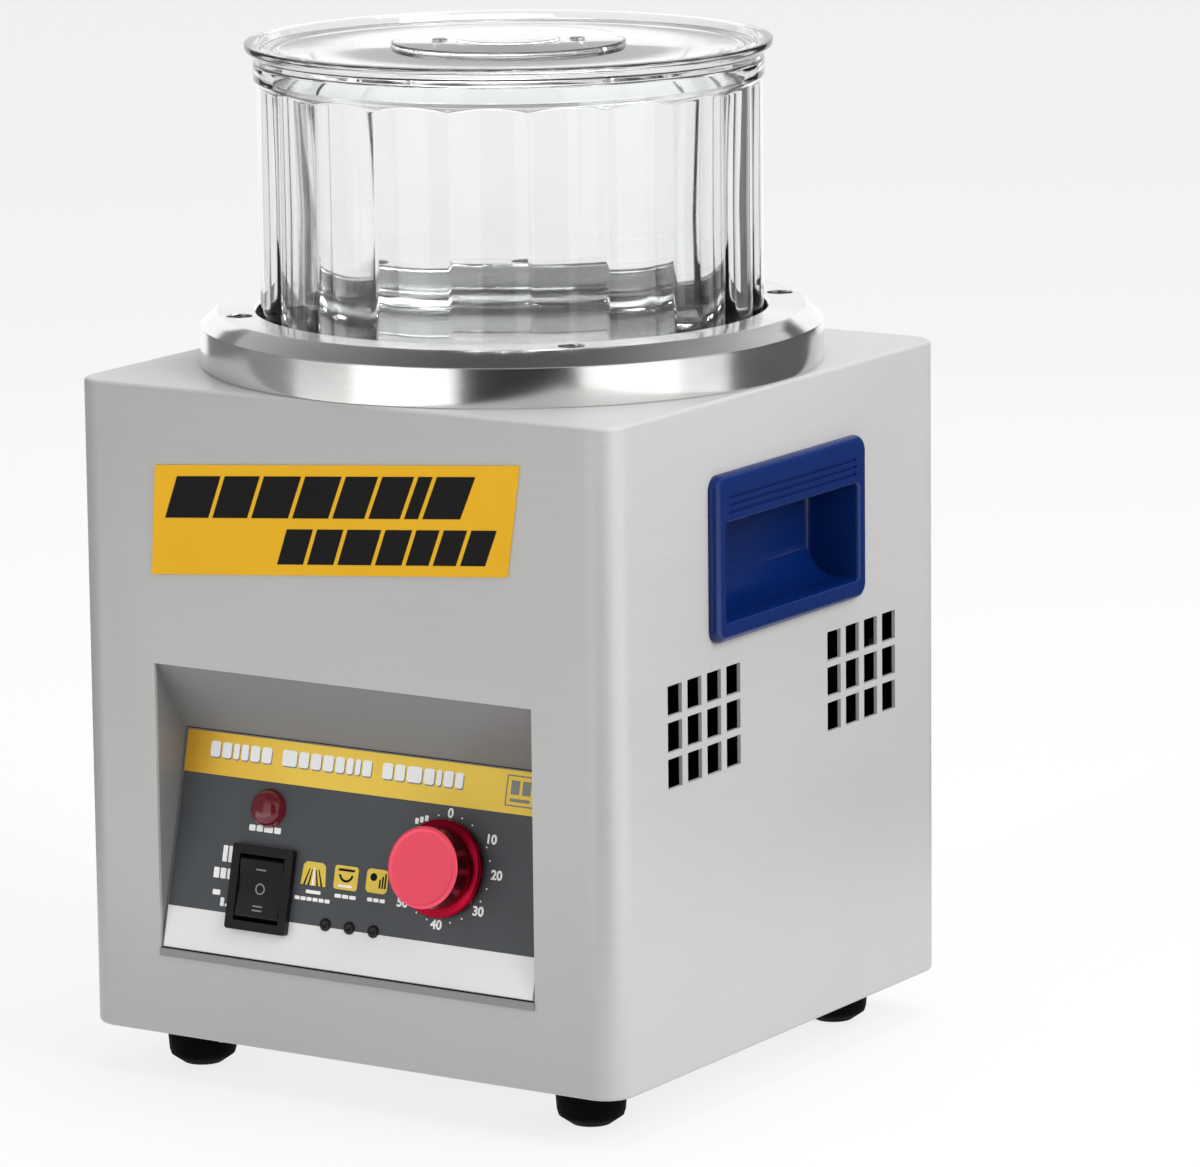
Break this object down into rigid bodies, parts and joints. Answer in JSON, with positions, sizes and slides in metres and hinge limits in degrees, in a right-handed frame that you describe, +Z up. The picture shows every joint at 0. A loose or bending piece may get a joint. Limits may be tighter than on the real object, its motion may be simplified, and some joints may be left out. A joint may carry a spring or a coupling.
{
  "type": "magnetic tumbler",
  "caption": "Bench magnetic tumbler: square metal case with a recessed control panel and pocket handles, and a fluted clear bowl with a clear lid in a clamp ring on top.",
  "frame": {"origin": "on the table plane under the centre of the square case, at the bottom of the rubber feet", "axes": "+Z up along the bowl and motor axis, -Y towards the user and the control panel, +X to the user's right"},
  "size_m": [0.248, 0.2564, 0.3907],
  "materials": {
    "case_metal": "satin warm grey, very faint brushed grain",
    "zinc_sheet": "zinc plated sheet, dull",
    "zinc_screw": "zinc plated",
    "foot_rubber": "matt black",
    "ring_aluminium": "turned and satin polished",
    "dark_screw": "black oxide",
    "pan_steel": "brushed stainless",
    "clear_plastic": "clear moulded acrylic, glossy",
    "rivet_metal": "satin",
    "tray_metal": "satin mid grey",
    "slate_film": "printed slate grey film",
    "yellow_film": "printed yellow film, satin",
    "white_film": "printed white film, satin",
    "black_plastic": "moulded black, satin",
    "red_lens": "dark red translucent lens, glossy",
    "knob_aluminium": "red anodised",
    "shaft_steel": "turned steel",
    "cream_plastic": "natural moulded plastic",
    "blue_plastic": "deep blue, glossy",
    "motor_paint": "black enamel",
    "cast_alloy": "as cast",
    "core_steel": "laminated core",
    "magnet_nickel": "nickel plated",
    "guard_wire": "plated wire",
    "pin_brass": "plated brass",
    "board_green": "green solder mask",
    "part_plastic": "moulded component cases",
    "part_aluminium": "drawn can"
  },
  "bodies": {
    "case": {"case_shell": "case_metal", "base_plate": "zinc_sheet", "base_screws": "zinc_screw", "rubber_feet": "foot_rubber", "foot_screws": "zinc_screw", "back_panel": "case_metal", "back_screws": "zinc_screw", "clamp_ring": "ring_aluminium", "ring_screws": "dark_screw", "top_pan": "pan_steel", "control_recess": "tray_metal", "panel_plate": "tray_metal", "panel_overlay": "slate_film", "title_strip": "yellow_film", "lower_strip": "white_film", "panel_plugs": "black_plastic", "lamp_lens": "red_lens", "lamp_holder": "black_plastic", "switch_housing": "black_plastic", "timer_body": "cream_plastic", "handle_right": "blue_plastic", "handle_left": "blue_plastic", "front_badge": "yellow_film", "ring_posts": "shaft_steel", "motor_bracket": "zinc_sheet", "bracket_screws": "zinc_screw", "motor_can": "motor_paint", "motor_end_bells": "cast_alloy", "motor_stator": "core_steel", "motor_bearings": "shaft_steel", "motor_screws": "zinc_screw", "fan_frame": "black_plastic", "fan_guard": "guard_wire", "fan_screws": "zinc_screw", "power_inlet": "black_plastic", "inlet_pins": "pin_brass", "inlet_screws": "zinc_screw", "control_board": "board_green", "board_parts": "part_plastic", "board_posts": "cream_plastic", "run_capacitor": "part_aluminium"},
    "bowl": {"tumbler_bowl": "clear_plastic"},
    "lid": {"bowl_lid": "clear_plastic", "lid_disc": "clear_plastic", "lid_rivets": "rivet_metal"},
    "rotor": {"motor_rotor": "core_steel", "motor_shaft": "shaft_steel", "disc_hub": "cast_alloy", "magnet_disc": "ring_aluminium", "magnets": "magnet_nickel"},
    "knob": {"timer_knob": "knob_aluminium", "timer_shaft": "shaft_steel"},
    "rocker": {"switch_rocker": "black_plastic"},
    "fan": {"fan_impeller": "black_plastic"},
    "fuse": {"fuse_drawer": "black_plastic"}
  },
  "joints": [
    {"name": "bowl_lift", "type": "slide", "parent": "case", "child": "bowl", "axis": [0, 0, 1], "range_m": [0, 0.12]},
    {"name": "lid_lift", "type": "slide", "parent": "bowl", "child": "lid", "axis": [0, 0, 1], "range_m": [0, 0.06]},
    {"name": "rotor_spin", "type": "hinge", "parent": "case", "child": "rotor", "pos_m": [0, 0, 0.2], "axis": [0, 0, 1], "continuous": true},
    {"name": "timer_turn", "type": "hinge", "parent": "case", "child": "knob", "pos_m": [0.0386, -0.10923, 0.09478], "axis": [0, 0.9724, -0.2334], "range_deg": [0, 270]},
    {"name": "rocker_tilt", "type": "hinge", "parent": "case", "child": "rocker", "pos_m": [-0.0413, -0.11028, 0.07755], "axis": [1, 0, 0], "range_deg": [-9, 9]},
    {"name": "fan_spin", "type": "hinge", "parent": "case", "child": "fan", "pos_m": [-0.038, 0.1075, 0.13], "axis": [0, 1, 0], "continuous": true},
    {"name": "fuse_slide", "type": "slide", "parent": "case", "child": "fuse", "axis": [0, 1, 0], "range_m": [0, 0.012]}
  ]
}
